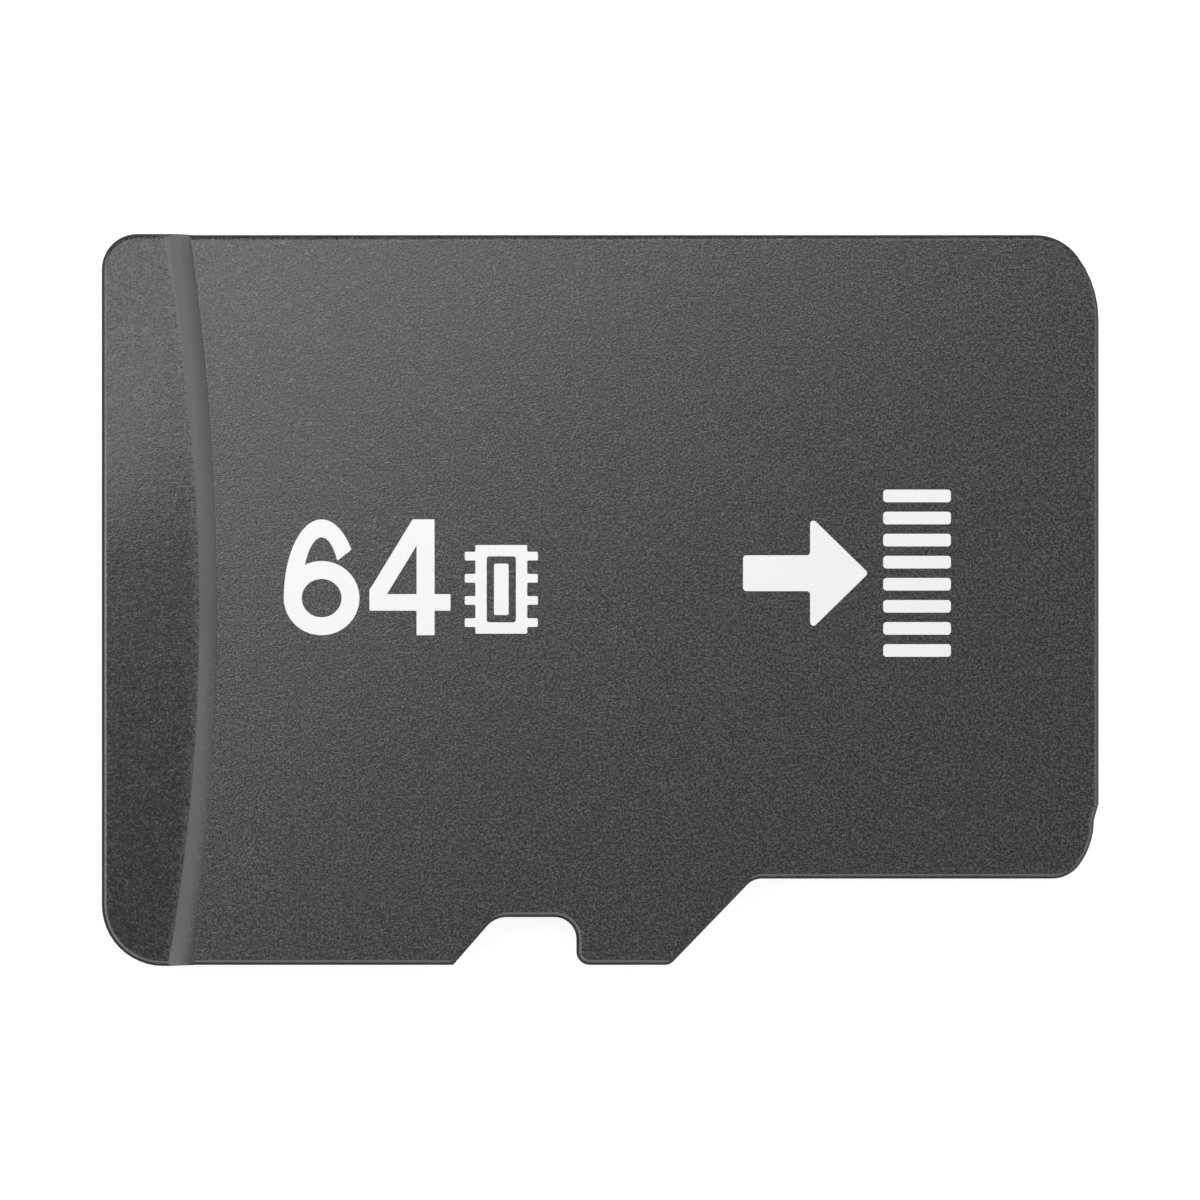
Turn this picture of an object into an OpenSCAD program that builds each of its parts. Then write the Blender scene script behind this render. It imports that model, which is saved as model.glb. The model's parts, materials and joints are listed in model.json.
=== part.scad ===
// Removable memory card: a resin shell moulded over a small circuit laminate that carries
// stacked flash dies, a controller, ceramic capacitors and eight gold-plated contacts.
// +X points to the insertion end, +Y to the straight long side, and the card lies on its contacts.

/* [Card outline] */
// Length of the card along X
card_length = 15; // [14.6:0.1:16]
// Width of the card at the grip end
card_width = 11; // [10.6:0.1:12]
// Thickness of the card away from the grip
card_thickness = 0.7; // [0.65:0.01:0.9]
// Radius of the grip end's corner on the straight side
rear_straight_radius = 0.53; // [0.3:0.01:0.9]
// Radius of the grip end's corner on the notched side
rear_notched_radius = 0.92; // [0.4:0.01:1.1]
// Front corner on the straight side, its reach along X and Y
front_corner = [0.95, 1.27]; // [0.5:0.01:1.6]

/* [Narrow nose] */
// How much narrower the nose is than the grip end
nose_setback = 1.3; // [1:0.05:1.6]
// From the front edge back to the foot of the slanted shoulder
shoulder_from_front = 6.46; // [6.2:0.01:6.7]
// Angle of the slanted shoulder to the card's length
shoulder_angle = 46; // [40:1:55]
// Radius of the hollow where the shoulder meets the nose
shoulder_hollow_radius = 0.3; // [0.15:0.01:0.6]
// Radius of the shoulder's outer corner
shoulder_tip_radius = 0.17; // [0.12:0.01:0.3]
// Nose corner on the notched side, its reach along X and Y
nose_corner = [0.63, 0.88]; // [0.4:0.01:1]
// Depth of the small ledge beside that corner
nose_ledge = 0.07; // [0.04:0.01:0.12]
// Run of that ledge along the front edge
nose_ledge_run = 0.25; // [0.15:0.01:0.4]
// Radii of the ledge's hollow and of its outer corner
nose_ledge_radii = [0.05, 0.15]; // [0.02:0.01:0.2]

/* [Latch notch] */
// From the front edge back to the notch wall that the latch pulls on
notch_from_front = 7.87; // [7.7:0.01:8]
// Length of the notch floor between its ideal corners
notch_floor = 1.23; // [1:0.01:1.5]
// Depth of the notch
notch_depth = 0.72; // [0.6:0.01:0.9]
// Angle of the notch's sloping lead to the card's length
notch_lead_angle = 49; // [42:1:60]
// Radius of the hollow at the lead
notch_lead_radius = 0.4; // [0.2:0.01:0.6]
// Radius of the hollow at the latch wall
notch_wall_radius = 0.33; // [0.2:0.01:0.5]
// Radius of the outer corner where the lead starts
notch_lead_tip_radius = 0.04; // [0.02:0.01:0.1]
// Radius of the outer corner at the latch wall
notch_lip_radius = 0.2; // [0.12:0.01:0.3]

/* [Finger grip] */
// How far the grip ridge stands above the card
grip_rise = 0.3; // [0.2:0.01:0.4]
// Width of the ridge's flat top at its middle
grip_top_length = 1.47; // [1.2:0.01:1.7]
// Width of the slope that comes down from it at its middle, seen from above
grip_slope_run = 0.25; // [0.15:0.01:0.4]
// Plan radius of the slope's upper edge
grip_radius = 30; // [25:0.5:36]
// Plan radius of the slope's foot
grip_foot_radius = 40; // [36:0.5:60]
// Place across the card of the curve's foremost point
grip_apex = -0.2; // [-0.6:0.05:0.6]
// Radius of the rounded rim round the moulding's top
rim_radius = 0.09; // [0.05:0.01:0.11]

/* [Laminate] */
// Thickness of the lower solder mask
under_mask_thickness = 0.03; // [0.025:0.001:0.04]
// Thickness of the laminate core
core_thickness = 0.16; // [0.12:0.01:0.2]
// Thickness of the upper solder mask and of the copper let into it
upper_mask_thickness = 0.02; // [0.015:0.001:0.03]
// Thickness of the plated copper under the card
copper_thickness = 0.02; // [0.015:0.001:0.023]

/* [Contacts] */
// Gap between neighbouring contacts
contact_gap = 0.3; // [0.2:0.01:0.4]
// From the straight side to the edge of the nearest contact
contact_straight_margin = 0.6; // [0.4:0.01:0.8]
// From the nose's long edge to the edge of the nearest contact
contact_nose_margin = 0.6; // [0.4:0.01:0.8]
// From the front edge to the signal contacts
signal_from_front = 0.82; // [0.7:0.01:1]
// From the front edge to the power contacts, which meet first
power_from_front = 0.52; // [0.4:0.01:0.65]
// From the front edge to the inner end of every contact
contact_inner_end = 3.72; // [3.5:0.01:3.9]
// Corner radius of a contact
contact_corner = 0.1; // [0.05:0.01:0.2]
// Width of the plating tail that runs to the front edge
tail_width = 0.1; // [0.06:0.01:0.15]
// Radius of the land at a contact's inner end
land_radius = 0.17; // [0.14:0.01:0.2]
// From a contact's inner end to the middle of its land
land_distance = 0.3; // [0.25:0.01:0.4]
// Radius of the plated plug through the laminate
plug_radius = 0.09; // [0.06:0.01:0.12]

/* [Dies] */
// Thickness of each silicon die
die_thickness = 0.1; // [0.07:0.01:0.11]
// Thickness of the film under each die
film_thickness = 0.02; // [0.01:0.005:0.03]
// From the front edge back to the lower flash die
flash_from_front = 5.3; // [5.2:0.05:5.6]
// From the grip end forward to the upper flash die
flash_rear_margin = 0.8; // [0.6:0.05:1.2]
// How far the upper die is set back to bare the lower die's pads
flash_stagger = 0.5; // [0.4:0.05:0.7]
// From the straight side to the flash dies
flash_straight_margin = 0.7; // [0.5:0.05:1.2]
// From the notch floor to the flash dies
flash_notch_margin = 0.6; // [0.4:0.05:1]
// Size of the controller die along X and Y
controller_size = [2, 3]; // [1.6:0.1:3.2]
// From the front edge back to the controller
controller_from_front = 1.1; // [0.9:0.05:1.3]
// Place of the controller across the card
controller_y = 0.2; // [-0.4:0.1:0.6]

/* [Bond wires] */
// Thickness of a bond wire
wire_thickness = 0.03; // [0.02:0.005:0.04]
// Height of a wire's loop above its die
wire_rise = 0.08; // [0.06:0.01:0.1]
// Straight stub where a wire lands on its finger
wire_landing = 0.03; // [0.02:0.005:0.05]
// From a die's edge in to its wires
pad_inset = 0.12; // [0.08:0.01:0.2]
// Size of a bond finger along and across its wire
finger_size = [0.3, 0.14]; // [0.1:0.01:0.4]
// From the lower flash die to its fingers' middle
lower_finger_reach = 0.5; // [0.4:0.01:0.6]
// From the lower flash die to the upper die's fingers' middle
upper_finger_reach = 0.95; // [0.9:0.01:1.05]
// From the controller to its fingers' middle
controller_finger_reach = 0.45; // [0.35:0.01:0.5]
// Distance between the wires of one flash die
flash_wire_pitch = 0.6; // [0.5:0.01:0.65]
// Number of wires on each flash die
flash_wire_count = 12; // [6:1:12]
// Distance between the controller's wires
controller_wire_pitch = 0.42; // [0.3:0.01:0.5]
// Number of wires on the controller's inner side
controller_inner_count = 6; // [3:1:7]
// Number of wires on each of the controller's other two sides
controller_side_count = 4; // [2:1:4]

/* [Capacitors] */
// Length, width and height of a ceramic capacitor
capacitor_size = [0.6, 0.3, 0.3]; // [0.2:0.01:0.9]
// Length of its plated ends
capacitor_end = 0.15; // [0.1:0.01:0.2]
// From the front edge back to the capacitors' middle
capacitor_from_front = 2.1; // [1.6:0.05:2.4]
// From the straight side to the middle of the first capacitor
capacitor_side_margin = 1.3; // [1.2:0.05:1.6]
// Distance between the first two capacitors
capacitor_pitch = 0.8; // [0.6:0.05:0.9]
// From the nose's long edge to the middle of the last capacitor
capacitor_nose_margin = 1; // [0.9:0.05:1.2]

/* [Hidden] */
CONTACTS = 8;
CAPACITORS = 3;
POWER_CONTACTS = [4, 6];
arc_step = 7.5;
rim_step = 18;
grip_steps = 24;
slope_steps = 8;
least_radius = 0.005;
overlap = 0.2;

front = card_length / 2;
rear = -card_length / 2;
straight_side = card_width / 2;
notched_side = -card_width / 2;
nose_side = notched_side + nose_setback;
notch_wall = front - notch_from_front;
notch_floor_y = notched_side + notch_depth;
shoulder_foot = front - shoulder_from_front;
contact_band = straight_side - contact_straight_margin - (nose_side + contact_nose_margin);
contact_pitch = (contact_band + contact_gap) / CONTACTS;
contact_width = contact_pitch - contact_gap;

core_z = under_mask_thickness;
upper_mask_z = core_z + core_thickness;
resin_z = upper_mask_z + upper_mask_thickness;
grip_z = card_thickness + grip_rise;
die_pitch_z = film_thickness + die_thickness;

flash_front = front - flash_from_front;
flash_side = straight_side - flash_straight_margin;
flash_size = [
  flash_front - (rear + flash_rear_margin) - flash_stagger,
  flash_side - (notch_floor_y + flash_notch_margin)
];
flash_middle_y = flash_side - flash_size.y / 2;
lower_finger_x = flash_front + lower_finger_reach;
upper_finger_x = flash_front + upper_finger_reach;
controller_corner = [
  front - controller_from_front - controller_size.x,
  controller_y - controller_size.y / 2
];

resin_colour = [0.28, 0.28, 0.29];
core_colour = [0.2, 0.24, 0.16];
mask_colour = [0.07, 0.08, 0.08];
gold_colour = [0.83, 0.66, 0.33];
copper_colour = [0.72, 0.42, 0.25];
silicon_colour = [0.33, 0.35, 0.4];
film_colour = [0.75, 0.68, 0.5];
ceramic_colour = [0.55, 0.42, 0.3];
tin_colour = [0.72, 0.73, 0.75];

// A path's corners are [x, y, radius], listed counter-clockwise. Each is rounded by an arc that touches
// both its sides, and inset moves the whole path inwards. The arcs' centres are kept, apart from an
// outer corner that is sharper than the inset, which stays sharp.
function unit(v) = v / norm(v);
function at(list, i) = list[(i + len(list)) % len(list)];
function place(corner) = [corner.x, corner.y];
function heading(path, i) = unit(place(at(path, i + 1)) - place(at(path, i)));
function turn(path, i) = let (a = heading(path, i - 1), b = heading(path, i)) atan2(cross(a, b), a * b);
function side(path, i) = norm(place(at(path, i + 1)) - place(at(path, i)));
function wanted_reach(path, i) = at(path, i)[2] * tan(abs(turn(path, i)) / 2);
function room(path, i) = min(
  side(path, i - 1) / (wanted_reach(path, i - 1) + wanted_reach(path, i)),
  side(path, i) / (wanted_reach(path, i) + wanted_reach(path, i + 1))
);
function arc(path, i, inset) = let (
  bend = turn(path, i),
  way = sign(bend),
  wanted = at(path, i)[2] * min(1, room(path, i)),
  radius = way > 0 ? max(wanted, inset + least_radius) : wanted,
  along = heading(path, i - 1),
  inwards = [-along.y, along.x],
  centre = place(at(path, i)) - along * radius * tan(abs(bend) / 2) + inwards * way * radius,
  drawn = radius - way * inset,
  steps = max(2, ceil(abs(bend) / arc_step))
) [for (k = [0:steps]) let (t = bend * k / steps)
  centre - way * drawn * [inwards.x * cos(t) - inwards.y * sin(t), inwards.x * sin(t) + inwards.y * cos(t)]];
function rounded(path, inset = 0) = [for (i = [0:len(path) - 1]) each arc(path, i, inset)];

// A corner that reaches further along one side than along the other is drawn as two corners with
// different radii, placed so that their arcs follow a quarter of an ellipse.
function long_corner(tip, first, second) = let (
  share = 2 - sqrt(2),
  slant = norm(first) / norm(second),
  first_turn = atan(1 / slant),
  a = tip + first * share,
  b = tip + second * share
) [
  [a.x, a.y, norm(first) * (1 - share) / tan(first_turn / 2)],
  [b.x, b.y, norm(second) * (1 - share) / tan((90 - first_turn) / 2)]
];

rear_corners = [
  [rear, straight_side, rear_straight_radius],
  [rear, notched_side, rear_notched_radius]
];
notch_corners = [
  [notch_wall - notch_floor - notch_depth / tan(notch_lead_angle), notched_side, notch_lead_tip_radius],
  [notch_wall - notch_floor, notch_floor_y, notch_lead_radius],
  [notch_wall, notch_floor_y, notch_wall_radius],
  [notch_wall, notched_side, notch_lip_radius]
];
shoulder_corners = [
  [shoulder_foot, notched_side, shoulder_tip_radius],
  [shoulder_foot + nose_setback / tan(shoulder_angle), nose_side, shoulder_hollow_radius]
];
nose_corners = concat(
  long_corner([front - nose_ledge, nose_side], [-nose_corner.x, 0], [0, nose_corner.y]),
  [
    [front - nose_ledge, nose_side + nose_corner.y, nose_ledge_radii[0]],
    [front, nose_side + nose_corner.y + nose_ledge_run, nose_ledge_radii[1]]
  ]
);
card_corners = concat(
  rear_corners,
  notch_corners,
  shoulder_corners,
  nose_corners,
  long_corner([front, straight_side], [0, -front_corner.y], [-front_corner.x, 0])
);
// Every corner of the card can be seen from this point, so its flat ends are fans about it
fan_centre = [shoulder_foot, (straight_side + nose_side) / 2];

// A solid through rings of points that all have the same number, its two ends fans about their centres
module skin(rings, centres) {
  count = len(rings[0]);
  last = (len(rings) - 1) * count;
  hub = last + count;
  sides = [for (a = [0:count:last - 1]) for (i = [0:count - 1]) let (j = (i + 1) % count, b = a + count)
    each [[a + i, b + i, b + j], [a + i, b + j, a + j]]];
  first_end = [for (i = [0:count - 1]) [hub, i, (i + 1) % count]];
  last_end = [for (i = [0:count - 1]) [hub + 1, last + (i + 1) % count, last + i]];
  polyhedron(
    concat([for (ring = rings) each ring], centres),
    concat(sides, first_end, last_end),
    convexity = 6
  );
}

function level(path, inset, z) = [for (p = rounded(path, inset)) [p.x, p.y, z]];

// A plate with straight walls up to a rounded rim
module rimmed_plate(path, centre, bottom, top) {
  rim = [for (t = [0:rim_step:90])
    level(path, rim_radius * (1 - cos(t)), top - rim_radius * (1 - sin(t)))];
  skin(
    concat([level(path, 0, bottom)], rim),
    [[centre.x, centre.y, bottom], [centre.x, centre.y, top]]
  );
}

module slab(path, z, thickness) {
  translate([0, 0, z])
    linear_extrude(thickness)
      polygon(rounded(path));
}

function block(corner, size, radius) = [
  [corner.x + size.x, corner.y, radius],
  [corner.x + size.x, corner.y + size.y, radius],
  [corner.x, corner.y + size.y, radius],
  [corner.x, corner.y, radius]
];

// The slope is wider towards the card's sides, because its foot is less curved than its upper edge.
// Both curves are seen here from the middle of the upper one, at t degrees from the card's length.
function slope_run(t) = let (offset = grip_radius + grip_slope_run - grip_foot_radius)
  offset * cos(t) + sqrt(pow(grip_foot_radius, 2) - pow(offset * sin(t), 2)) - grip_radius;

// How far down the slope its surface lies, from 1 at its upper edge to 0 at its foot. It is domed at
// the straight side, where hollow is 0, and hollowed out at the notched side, where hollow is 1.
function slope_height(s, hollow) = (1 - hollow) * (1 - s * s) + hollow * (1 - s) * (1 - s);
function slope_hollow(t) = max(0, min(1, 0.5 - (grip_apex + grip_radius * sin(t)) / card_width));

// The ridge's section, as distance from the middle of its curve and height. Its inner end rises past
// the ridge's top, which the rear plate makes flat.
function grip_section(t) = let (
  inner = grip_radius - 2 * grip_top_length,
  run = slope_run(t)
) concat(
  [[inner, card_thickness - overlap], [grip_radius + run, card_thickness - overlap]],
  [for (k = [slope_steps:-1:0]) let (s = k / slope_steps)
    [grip_radius + run * s, card_thickness + grip_rise * slope_height(s, slope_hollow(t))]],
  [[inner, grip_z + overlap]]
);

// The ridge follows the card's rear outline on three sides and its own curve on the fourth
module grip_ridge() {
  curve_centre = [rear + grip_top_length - grip_radius, grip_apex];
  half_angle = 1.2 * asin(card_width / 2 / grip_radius);
  reach = grip_top_length + grip_slope_run + overlap;
  rear_end = concat(rear_corners, [
    [rear + reach, notched_side, 0],
    [rear + reach, straight_side, 0]
  ]);
  function turned(p, t) = [curve_centre.x + p.x * cos(t), curve_centre.y + p.x * sin(t), p.y];
  hub = [grip_radius - grip_top_length, card_thickness];
  intersection() {
    rimmed_plate(rear_end, [rear + reach / 2, 0], card_thickness - 2 * rim_radius, grip_z);
    skin(
      [for (k = [0:grip_steps]) let (t = half_angle * (1 - 2 * k / grip_steps))
        [for (p = grip_section(t)) turned(p, t)]],
      [turned(hub, half_angle), turned(hub, -half_angle)]
    );
  }
}

module moulded_body() {
  color(resin_colour)
    difference() {
      union() {
        rimmed_plate(card_corners, fan_centre, resin_z, card_thickness);
        grip_ridge();
      }
      layer(lower_flash_corner, flash_size, resin_z, die_pitch_z);
      layer(upper_flash_corner, flash_size, resin_z + die_pitch_z, die_pitch_z);
      layer(controller_corner, controller_size, resin_z, die_pitch_z);
      for (i = [1:CAPACITORS])
        capacitor_block(i, -capacitor_size.x / 2, capacitor_size.x);
      lower_die_wires();
      upper_die_wires();
      controller_wires();
    }
}

module substrate_core() {
  color(core_colour)
    difference() {
      slab(card_corners, core_z, core_thickness);
      layer_plugs();
    }
}

function contact_y(i) = nose_side + contact_nose_margin + contact_width / 2 + contact_pitch * (i - 1);
function is_power(i) = len(search(i, POWER_CONTACTS)) > 0;
function contact_start(i) = is_power(i) ? power_from_front : signal_from_front;
function contact_path(i) = block(
  [front - contact_inner_end, contact_y(i) - contact_width / 2],
  [contact_inner_end - contact_start(i), contact_width],
  contact_corner
);
land_x = front - contact_inner_end - land_distance;

module contact_shape(i) {
  polygon(rounded(contact_path(i)));
  translate([land_x, contact_y(i) - tail_width / 2])
    square([front - land_x, tail_width]);
  translate([land_x, contact_y(i)])
    circle(land_radius, $fn = 48);
}

module contact(i) {
  color(gold_colour)
    translate([0, 0, core_z - copper_thickness])
      linear_extrude(copper_thickness)
        intersection() {
          contact_shape(i);
          polygon(rounded(card_corners));
        }
}

module under_mask() {
  color(mask_colour)
    difference() {
      slab(card_corners, 0, under_mask_thickness);
      for (i = [1:CONTACTS]) {
        contact(i);
        slab(contact_path(i), -overlap, overlap + under_mask_thickness);
      }
    }
}

module layer_plugs() {
  color(copper_colour)
    for (i = [1:CONTACTS])
      translate([land_x, contact_y(i), core_z])
        cylinder(core_thickness, r = plug_radius, $fn = 32);
}

module finger(x, y, size) {
  translate([x - size.x / 2, y - size.y / 2, upper_mask_z])
    cube([size.x, size.y, upper_mask_thickness]);
}

function spread(count, pitch) = [for (k = [0:count - 1]) (k - (count - 1) / 2) * pitch];
function flash_wire_y(shift) = [for (y = spread(flash_wire_count, flash_wire_pitch)) flash_middle_y + y + shift];
lower_wire_y = flash_wire_y(-flash_wire_pitch / 4);
upper_wire_y = flash_wire_y(flash_wire_pitch / 4);
controller_inner_y = [for (y = spread(controller_inner_count, controller_wire_pitch)) controller_y + y];
controller_side_x = [for (x = spread(controller_side_count, controller_wire_pitch))
  controller_corner.x + controller_size.x / 2 + x];
controller_inner_finger_x = controller_corner.x - controller_finger_reach;
controller_side_reach = controller_size.y / 2 + controller_finger_reach;
across_finger = [finger_size.y, finger_size.x];

module capacitor_pads(i) {
  for (way = [-1, 1])
    finger(
      capacitor_place(i).x + way * (capacitor_size.x - capacitor_end) / 2,
      capacitor_place(i).y,
      [capacitor_end, capacitor_size.y]
    );
}

module bond_fingers() {
  color(gold_colour) {
    for (y = lower_wire_y)
      finger(lower_finger_x, y, finger_size);
    for (y = upper_wire_y)
      finger(upper_finger_x, y, finger_size);
    for (y = controller_inner_y)
      finger(controller_inner_finger_x, y, finger_size);
    for (x = controller_side_x)
      for (way = [-1, 1])
        finger(x, controller_y + way * controller_side_reach, across_finger);
    for (i = [1:CAPACITORS])
      capacitor_pads(i);
  }
}

module upper_mask() {
  color(mask_colour)
    difference() {
      slab(card_corners, upper_mask_z, upper_mask_thickness);
      bond_fingers();
    }
}

module layer(corner, size, z, thickness) {
  translate([corner.x, corner.y, z])
    cube([size.x, size.y, thickness]);
}

lower_flash_corner = [flash_front - flash_size.x, flash_side - flash_size.y];
upper_flash_corner = lower_flash_corner - [flash_stagger, 0];

module lower_die_film() {
  color(film_colour)
    layer(lower_flash_corner, flash_size, resin_z, film_thickness);
}

module lower_flash_die() {
  color(silicon_colour)
    layer(lower_flash_corner, flash_size, resin_z + film_thickness, die_thickness);
}

module upper_die_film() {
  color(film_colour)
    layer(upper_flash_corner, flash_size, resin_z + die_pitch_z, film_thickness);
}

module upper_flash_die() {
  color(silicon_colour)
    layer(upper_flash_corner, flash_size, resin_z + die_pitch_z + film_thickness, die_thickness);
}

module controller_film() {
  color(film_colour)
    layer(controller_corner, controller_size, resin_z, film_thickness);
}

module controller_die() {
  color(silicon_colour)
    layer(controller_corner, controller_size, resin_z + film_thickness, die_thickness);
}

// A wire rises from its die, slopes down over the distance and lands on its finger. It is drawn
// along +X from the die, which stands at the given height above the finger.
module bond_wire(distance, height) {
  half = wire_thickness / 2;
  top = height + wire_rise;
  slope = (wire_landing - top) / distance;
  lift = half * sqrt(1 + slope * slope);
  rotate([90, 0, 0])
    translate([0, 0, -half])
      linear_extrude(wire_thickness)
        polygon([
          [-half, height],
          [half, height],
          [half, top + slope * half - lift],
          [distance - half, wire_landing - slope * half - lift],
          [distance - half, 0],
          [distance + half, 0],
          [distance + half, wire_landing + slope * half + lift],
          [-half, top - slope * half + lift]
        ]);
}

module lower_die_wires() {
  color(gold_colour)
    for (y = lower_wire_y)
      translate([flash_front - pad_inset, y, resin_z])
        bond_wire(pad_inset + lower_finger_reach, die_pitch_z);
}

module upper_die_wires() {
  color(gold_colour)
    for (y = upper_wire_y)
      translate([flash_front - flash_stagger - pad_inset, y, resin_z])
        bond_wire(flash_stagger + pad_inset + upper_finger_reach, 2 * die_pitch_z);
}

module controller_wires() {
  color(gold_colour) {
    for (y = controller_inner_y)
      translate([controller_corner.x + pad_inset, y, resin_z])
        rotate([0, 0, 180])
          bond_wire(pad_inset + controller_finger_reach, die_pitch_z);
    for (x = controller_side_x)
      for (way = [-1, 1])
        translate([x, controller_y + way * (controller_size.y / 2 - pad_inset), resin_z])
          rotate([0, 0, way * 90])
            bond_wire(pad_inset + controller_finger_reach, die_pitch_z);
  }
}

function capacitor_place(i) = [
  front - capacitor_from_front,
  i < CAPACITORS
    ? straight_side - capacitor_side_margin - capacitor_pitch * (i - 1)
    : nose_side + capacitor_nose_margin
];

// A stretch of the capacitor that starts at the given distance from its middle
module capacitor_block(i, start, length) {
  translate([capacitor_place(i).x + start, capacitor_place(i).y - capacitor_size.y / 2, resin_z])
    cube([length, capacitor_size.y, capacitor_size.z]);
}

module capacitor(i) {
  length = capacitor_size.x - 2 * capacitor_end;
  color(ceramic_colour)
    capacitor_block(i, -length / 2, length);
}

module capacitor_ends(i) {
  color(tin_colour)
    for (start = [-capacitor_size.x / 2, capacitor_size.x / 2 - capacitor_end])
      capacitor_block(i, start, capacitor_end);
}

moulded_body();
substrate_core();
under_mask();
upper_mask();
layer_plugs();
bond_fingers();
lower_die_film();
lower_flash_die();
upper_die_film();
upper_flash_die();
controller_film();
controller_die();
lower_die_wires();
upper_die_wires();
controller_wires();
for (i = [1:CONTACTS])
  contact(i);
for (i = [1:CAPACITORS])
  capacitor(i);
for (i = [1:CAPACITORS])
  capacitor_ends(i);
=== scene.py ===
"""A removable memory card, dressed and lit for its portrait.

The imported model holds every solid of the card. This script adds what an eye finds on them: the
blasted grain of the moulding, the white print, the cut edge of the laminate with its glass bundles,
the weave that shows faintly through the solder mask, and the wiped gold of the contacts.

The card's frame is in metres: +X is the insertion end, +Y the straight long side and +Z the printed
side. Sizes here are in millimetres, and every mesh is brought to metres as it is finished.
"""

import json
import logging
import math
from dataclasses import dataclass
from enum import Enum

import bmesh
import bpy
from bpy.types import ID, Curve, Material, Mesh, NodeSocket, NodeTree, Object
from mathutils import Matrix, Vector

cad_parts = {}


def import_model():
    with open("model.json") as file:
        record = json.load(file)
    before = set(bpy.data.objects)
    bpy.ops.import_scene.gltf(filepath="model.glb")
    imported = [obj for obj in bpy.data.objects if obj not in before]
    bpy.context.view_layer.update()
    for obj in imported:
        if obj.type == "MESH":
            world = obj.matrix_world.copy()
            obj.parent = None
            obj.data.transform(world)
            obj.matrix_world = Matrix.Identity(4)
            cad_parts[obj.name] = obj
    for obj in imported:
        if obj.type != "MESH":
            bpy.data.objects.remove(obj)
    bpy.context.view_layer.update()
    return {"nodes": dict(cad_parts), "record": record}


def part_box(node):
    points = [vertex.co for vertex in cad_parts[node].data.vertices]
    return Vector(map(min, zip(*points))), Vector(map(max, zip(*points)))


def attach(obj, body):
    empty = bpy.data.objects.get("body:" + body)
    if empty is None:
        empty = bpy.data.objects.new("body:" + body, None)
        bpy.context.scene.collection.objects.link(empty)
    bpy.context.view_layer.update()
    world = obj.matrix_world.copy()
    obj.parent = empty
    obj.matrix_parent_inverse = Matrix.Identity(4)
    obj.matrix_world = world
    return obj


MM = 0.001
WELD = 0.0001 * MM
BODY = "root"
log = logging.getLogger("memory_card")

Colour = tuple[float, float, float, float]
Point = tuple[float, float]
Place = tuple[float, float, float]


def grey(level: float, blue: float = 0.0) -> Colour:
    """A grey of a linear level, with its blue raised by a share."""
    return (level, level, level * (1 + blue), 1.0)


class Wire:
    """An output of a node, on which Python arithmetic adds Math nodes to the same tree."""

    def __init__(self, graph: "Graph", socket: NodeSocket) -> None:
        """Keeps the tree under construction and the socket that the value comes from."""
        self.graph = graph
        self.socket = socket

    def math(self, operation: str, *others: "Wire | float") -> "Wire":
        """Adds one Math node.

        Args:
            operation: The node's operation.
            others: The inputs that follow this value.

        Returns:
            The node's result.
        """
        sockets = dict(enumerate((self, *others)))
        return self.graph.node("ShaderNodeMath", sockets, operation=operation)

    def __add__(self, other: "Wire | float") -> "Wire":
        """The sum of two values."""
        return self.math("ADD", other)

    def __sub__(self, other: "Wire | float") -> "Wire":
        """The difference of two values."""
        return self.math("SUBTRACT", other)

    def __rsub__(self, other: float) -> "Wire":
        """A number less this value."""
        return self.graph.node("ShaderNodeMath", {0: other, 1: self}, operation="SUBTRACT")

    def __mul__(self, other: "Wire | float") -> "Wire":
        """The product of two values."""
        return self.math("MULTIPLY", other)

    def __abs__(self) -> "Wire":
        """The value without its sign."""
        return self.math("ABSOLUTE")

    __radd__ = __add__
    __rmul__ = __mul__

    def step(self, low: float, high: float) -> "Wire":
        """A smooth rise from 0 at low to 1 at high, or a fall where low is the larger."""
        sockets = {"Value": self, "From Min": low, "From Max": high}
        return self.graph.node("ShaderNodeMapRange", sockets, interpolation_type="SMOOTHSTEP")


class Graph:
    """A node tree under construction, for a material or for geometry."""

    def __init__(self, tree: NodeTree) -> None:
        """Empties the tree."""
        self.tree = tree
        self.tree.nodes.clear()

    def node(
        self,
        kind: str,
        sockets: dict[str | int, object] | None = None,
        output: str | int = 0,
        **settings: object,
    ) -> Wire:
        """Adds one node of any kind.

        Args:
            kind: The node's type name.
            sockets: Values or links for its inputs, by name or by number.
            output: The output that the result stands for.
            settings: Its own settings, such as a Math node's operation, set before its sockets.

        Returns:
            That output, to be linked or used in an expression.
        """
        node = self.tree.nodes.new(kind)
        for name, value in settings.items():
            setattr(node, name, value)
        for key, value in (sockets or {}).items():
            self._feed(node.inputs[key], value)
        result = node.outputs[output] if node.outputs else None
        return Wire(self, result)

    def _feed(self, socket: NodeSocket, value: object) -> None:
        """Links a wire to a socket, or sets the socket's own value."""
        if isinstance(value, Wire):
            self.tree.links.new(value.socket, socket)
        else:
            socket.default_value = value


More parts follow.
